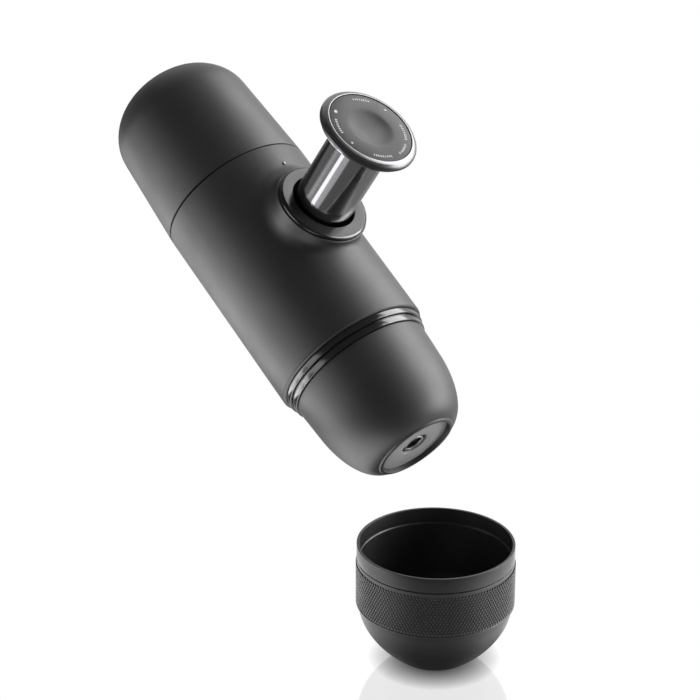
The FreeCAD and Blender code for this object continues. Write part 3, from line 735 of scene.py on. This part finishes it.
def dress(piece, body, node, material):
    """Gives a piece its finish and body, and hides the frame part that it stands for."""
    piece.data.materials.clear()
    piece.data.materials.append(material)
    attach(piece, body)
    if node:
        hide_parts(node)


dress(merged_copy("body-shell", "main_body"), "main body", "main_body", charcoal)
# The pale cap on the pip is a painted highlight.
dress(pip_highlight_piece(), "main body", None, print_and_highlight_paint)
dress(merged_copy("piston-guide", "piston_guide"), "main body", "piston_guide", inner_black)
dress(merged_copy("piston-sleeve", "piston_sleeve"), "button", "piston_sleeve", chrome)
dress(piston_ring_piece(), "main body", "collar_ring", ring_black)
dress(collar_piece(), "main body", "thread_collar", collar_black)
dress(tank_piece(), "tank", "water_tank", charcoal)
dress(head_piece(), "head", "outlet_head", charcoal)
dress(plate_piece(), "head", "spout_plate", plate_grey)
dress(nozzle_piece(), "head", "spout_nozzle", inner_black)
dress(spout_ring_piece(), "head", "spout_ring", steel)
dress(knob_base_piece(), "button", "knob_base", chrome)
dress(knob_rim_piece(), "button", "knob_rim", rim_metal)
dress(knob_disc_piece(), "button", "knob_inset", disc_black)
dress(knob_marks(), "button", None, print_and_highlight_paint)
spring = merged_copy("return-spring", "return_spring")
dress(spring, "main body", "return_spring", steel)
shortens(spring)
dress(cup_piece(), "cup", "cup_shell", cup_black)
dress(grip_base(), "cup", "grip_band", grip_rubber)
dress(grip_pips(), "cup", None, grip_rubber)

kept_nodes = {
    "upper_deck": inner_black,
    "lower_deck": inner_black,
    "pump_housing": inner_black,
    "chassis_screws": screw_steel,
    "screen_screw": screw_steel,
    "inlet_valve": silicone,
    "outlet_valve": silicone,
    "intake_strainer": inner_black,
    "shower_screen": steel,
    "chamber_gasket": silicone,
    "plunger_rod": inner_black,
    "plunger_seal": seal_black,
    "tank_seal": seal_black,
    "filter_basket": steel,
    "basket_screen": steel,
}
for node, material in kept_nodes.items():
    part = frame["nodes"][node]
    part.data.materials.clear()
    part.data.materials.append(material)

# ------------------------------------------------------------------ floor, light and camera

# Places are in metres. A level is a share of white, and limits say where a soft step begins and ends.
white = (1, 1, 1, 1)
floor_radius = 0.2
floor_gloss = 0.2
# contact_reach is how far from the cup the painted contact shadow reaches.
contact_reach = 0.008

# The table as the machine mirrors it. table_back is along Y, and glow_reach goes out from glow_at. The
# other limits are heights of the surface that mirrors it.
table_back = (-0.05, 0.1)
floor_dark = 0.09
floor_pale = 0.9
sleeve_from = (0.154, 0.162)
sleeve_dark = 0.13
sleeve_pale = 0.25
glow_at = (-0.015, -0.12, 0)
glow_reach = (0.06, 0.165)
glow_level = 3.6
head_tops = (0.15, 0.16)
cup_tops = (0.047, 0.052)

# The table as the cup mirrors it. side_from is in shares of the way to the front, and foot_reach goes out
# from the middle of the foot; within it, shade is painted into the glow that the cup mirrors.
front_way = (0.717, -0.697, 0)
side_from = (0.35, 1.0)
side_level = 1.9
cup_front_level = 0.45
foot_reach = (0.02, 0.05)
foot_level = 0.15

backdrop_way = (-0.71, 0.61, -0.36)
backdrop_from = (-0.25, 0.45)
front_level = 0.085
room_level = 0.35
# Flags in the room: the way to each, the limits of its soft edge and the share of light that it leaves.
flags = [
    ((-0.89, 0.42, -0.16), (0.94, 0.975), 0.03),
    ((-0.9, -0.35, 0.25), (0.76, 0.87), 0.17),
    ((-0.3, 0.74, -0.6), (0.86, 0.97), 0.35),
]

camera_at = (0.4747, -0.4609, 0.3832)
camera_tilt = 68.23
camera_turn = 48.48
camera_lens = 107.4

machine_middle = (-0.05, 0, 0.12)
strip_way = (0.57, 0.07, 0.82)
# Each lamp: where it stands, what it faces, the way of its long side, its two sizes and its level.
lamps = {
    "right softbox": ((0.15, 0.48, 0.37), machine_middle, (0.68, -0.1, -0.73), (0.95, 0.42), 5.5),
    "left softbox": ((-0.264, -0.516, 0.2), (-0.08, -0.02, 0.13), (0.9, -0.4, 0), (0.42, 0.22), 1.9),
    "left edge softbox": ((-0.374, -0.434, 0.018), machine_middle, (-0.65, 0.32, 0.69), (0.34, 0.14), 4.0),
    "low left softbox": ((-0.54, -0.28, -0.18), (-0.06, 0, 0.12), (0.6, -0.8, -0.1), (0.42, 0.36), 3.6),
    "strip light": ((-0.2, -0.41, -0.05), (-0.05, 0, 0.17), strip_way, (0.34, 0.1), 1.8),
    "right low softbox": ((0.286, 0.315, 0.13), (-0.02, 0, 0.13), (0, 0, 1), (0.26, 0.18), 5.0),
    "key softbox": ((0.22, 0.3, 0.52), (-0.03, 0, 0.16), (1, 0, 0), (0.22, 0.22), 5.0),
    "chrome fill": ((-0.083, -0.325, -0.07), (-0.043, -0.012, 0.171), strip_way, (0.16, 0.12), 0.5),
    "ring edge light": ((0.22, 0.265, 0.265), (-0.04, 0, 0.15), (0.7, -0.6, 0.3), (0.42, 0.12), 20.0),
}
# Lamps that light all but these pieces (EXCLUDE) or only these (INCLUDE), as cards on stands would.
polished = ("piston-sleeve", "knob-underside", "knob-rim")
carded = {
    "left edge softbox": ("EXCLUDE", polished),
    "right low softbox": ("EXCLUDE", polished),
    "chrome fill": ("INCLUDE", ("piston-sleeve",)),
    "ring edge light": ("INCLUDE", ("piston-ring",)),
}


def soft_step(tree, value, limits, low, high):
    """Goes softly from low, where value is at its first limit, to high, where it is at its second."""
    ends = {"From_Min": limits[0], "From_Max": limits[1], "To_Min": low, "To_Max": high}
    step = add(tree, "ShaderNodeMapRange", [(value, "Value")], interpolation_type="SMOOTHSTEP", **ends)
    return step.outputs["Result"]


def combined(tree, operation, value_a, value_b):
    return add(tree, "ShaderNodeMath", [(value_a, 0), (value_b, 1)], operation=operation).outputs[0]


def measured(tree, operation, vector, other=(0, 0, 0)):
    """A vector's length, or its distance from another or dot product with it."""
    return add(tree, "ShaderNodeVectorMath", [(vector, 0), (other, 1)], operation=operation).outputs["Value"]


def blended(tree, share, value_a, value_b):
    """value_a where share is 0, value_b where it is 1."""
    return add(tree, "ShaderNodeMix", [(share, 0), (value_a, 2), (value_b, 3)], data_type="FLOAT").outputs[0]


def mixed(tree, share, shader_a, shader_b):
    """shader_a where share is 0, shader_b where it is 1."""
    return add(tree, "ShaderNodeMixShader", [(share, 0), (shader_a, 1), (shader_b, 2)]).outputs[0]


def eye_or_glass(tree, path):
    """1 where the eye looks straight or through glass, and 0 for all other light."""
    return combined(tree, "MAXIMUM", path.outputs["Is Camera Ray"], path.outputs["Is Transmission Ray"])


def mirror_height(tree, path):
    """How high above the table the surface stands that mirrors it.

    It is the rise of a gloss ray. On such a ray, Geometry's Incoming points back to the surface that the
    ray left, not to the camera, so the height stays the same from wherever the camera looks.
    """
    back_along = add(tree, "ShaderNodeNewGeometry").outputs["Incoming"]
    slope = add(tree, "ShaderNodeSeparateXYZ", [(back_along, 0)]).outputs["Z"]
    return combined(tree, "MULTIPLY", slope, path.outputs["Ray Length"])


def machine_level(tree, where, height):
    """The table as the machine mirrors it: pale at the back, dark in front, with a wide lit patch there."""
    back = add(tree, "ShaderNodeSeparateXYZ", [(where, 0)]).outputs["Y"]
    low_down = soft_step(tree, back, table_back, floor_dark, floor_pale)
    high_up = soft_step(tree, back, table_back, sleeve_dark, sleeve_pale)
    plain = blended(tree, soft_step(tree, height, sleeve_from, 0, 1), low_down, high_up)
    patch = soft_step(tree, measured(tree, "DISTANCE", where, glow_at), glow_reach, glow_level, 0)
    lit_patch = combined(tree, "MULTIPLY", patch, soft_step(tree, height, head_tops, 1, 0))
    return combined(tree, "ADD", lit_patch, plain)


def cup_level(tree, where):
    """The table as the cup mirrors it: lit at the sides, dimmer in front, and with painted shade close to
    the foot.
    """
    far = measured(tree, "LENGTH", where)
    frontness = combined(tree, "DIVIDE", measured(tree, "DOT_PRODUCT", where, front_way), far)
    side = soft_step(tree, frontness, side_from, side_level, cup_front_level)
    # Painted shade: the glow that the cup mirrors dims close to its foot.
    return combined(tree, "MULTIPLY", side, soft_step(tree, far, foot_reach, foot_level, 1))


def mirrored_level(tree, path):
    """How bright the table is in gloss, by its place and by how high the surface is that mirrors it."""
    where = add(tree, "ShaderNodeTexCoord").outputs["Object"]
    height = mirror_height(tree, path)
    from_cup = soft_step(tree, height, cup_tops, 1, 0)
    return blended(tree, from_cup, machine_level(tree, where, height), cup_level(tree, where))


def studio_floor():
    """A lit acrylic table: white to the eye, with a painted soft shadow, a faint reflection and a glow for
    gloss.
    """
    deselect()
    bpy.ops.mesh.primitive_circle_add(vertices=96, radius=floor_radius, fill_type="NGON")
    floor = bpy.context.object
    floor.name = "floor"
    material = bpy.data.materials.new("lit white acrylic sheet")
    material.use_nodes = True
    tree = material.node_tree
    tree.nodes.clear()
    path = add(tree, "ShaderNodeLightPath")
    level = mirrored_level(tree, path)
    glow = add(tree, "ShaderNodeEmission", [(level, "Strength")], Color=white).outputs[0]
    # Painted contact shadow: ambient occlusion dims the table's own glow where the cup stands close above
    # it.
    open_sky = add(tree, "ShaderNodeAmbientOcclusion", samples=24, Distance=contact_reach).outputs["AO"]
    bright = add(tree, "ShaderNodeEmission", [(open_sky, "Strength")], Color=white).outputs[0]
    lit = add(tree, "ShaderNodeBsdfDiffuse", Color=linear("#e8e8e8")).outputs[0]
    shine = add(tree, "ShaderNodeBsdfGlossy", Roughness=0.06, Color=white).outputs[0]
    seen = mixed(tree, floor_gloss, bright, shine)
    other = mixed(tree, path.outputs["Is Glossy Ray"], lit, glow)
    mix = mixed(tree, eye_or_glass(tree, path), other, seen)
    add(tree, "ShaderNodeOutputMaterial", [(mix, "Surface")])
    floor.data.materials.append(material)


def studio_world():
    """A white room. In gloss it is dark in front, on the camera's side, and flags stand here and there."""
    world = bpy.data.worlds.new("studio")
    bpy.context.scene.world = world
    world.use_nodes = True
    tree = world.node_tree
    tree.nodes.clear()
    path = add(tree, "ShaderNodeLightPath")
    way = add(tree, "ShaderNodeTexCoord").outputs["Generated"]
    level = soft_step(tree, measured(tree, "DOT_PRODUCT", way, backdrop_way), backdrop_from, front_level, 1)
    for flag_way, edge, share in flags:
        shade = soft_step(tree, measured(tree, "DOT_PRODUCT", way, flag_way), edge, 1, share)
        level = combined(tree, "MULTIPLY", level, shade)
    gloss = add(tree, "ShaderNodeBackground", [(level, "Strength")], Color=white).outputs[0]
    room = add(tree, "ShaderNodeBackground", Color=white, Strength=room_level).outputs[0]
    bright = add(tree, "ShaderNodeBackground", Color=white, Strength=1.0).outputs[0]
    other = mixed(tree, path.outputs["Is Glossy Ray"], room, gloss)
    mix = mixed(tree, eye_or_glass(tree, path), other, bright)
    add(tree, "ShaderNodeOutputWorld", [(mix, "Surface")])


def softbox(name, centre, aim, long_way, size, level):
    """A flat lamp at centre that faces aim, its long side along long_way, as bright as level times white."""
    lamp = bpy.data.lights.new(name, "AREA")
    lamp.shape = "RECTANGLE"
    lamp.size, lamp.size_y = size
    lamp.energy = level * math.pi * size[0] * size[1]
    light = bpy.data.objects.new(name, lamp)
    bpy.context.scene.collection.objects.link(light)
    back = (Vector(centre) - Vector(aim)).normalized()
    side = back.cross(Vector(long_way)).cross(back).normalized()
    turn = Matrix((side, back.cross(side), back)).transposed()
    light.matrix_world = Matrix.Translation(centre) @ turn.to_4x4()
    return light


def card(light, state, pieces):
    """Keeps a lamp's light to some pieces (INCLUDE) or off them (EXCLUDE)."""
    chosen = bpy.data.collections.new(light.name + " cards")
    light.light_linking.receiver_collection = chosen
    for piece in pieces:
        chosen.objects.link(bpy.data.objects[piece])
    for link in chosen.collection_objects:
        link.light_linking.link_state = state


def studio_lamps():
    for name, settings in lamps.items():
        light = softbox(name, *settings)
        if name in carded:
            card(light, *carded[name])


def studio_camera():
    lens = bpy.data.cameras.new("camera")
    lens.lens = camera_lens
    lens.sensor_width = 36.0
    camera = bpy.data.objects.new("camera", lens)
    bpy.context.scene.collection.objects.link(camera)
    camera.location = camera_at
    camera.rotation_euler = (math.radians(camera_tilt), 0, math.radians(camera_turn))
    bpy.context.scene.camera = camera


studio_floor()
studio_world()
studio_lamps()
studio_camera()
bpy.context.scene.view_settings.view_transform = "Standard"
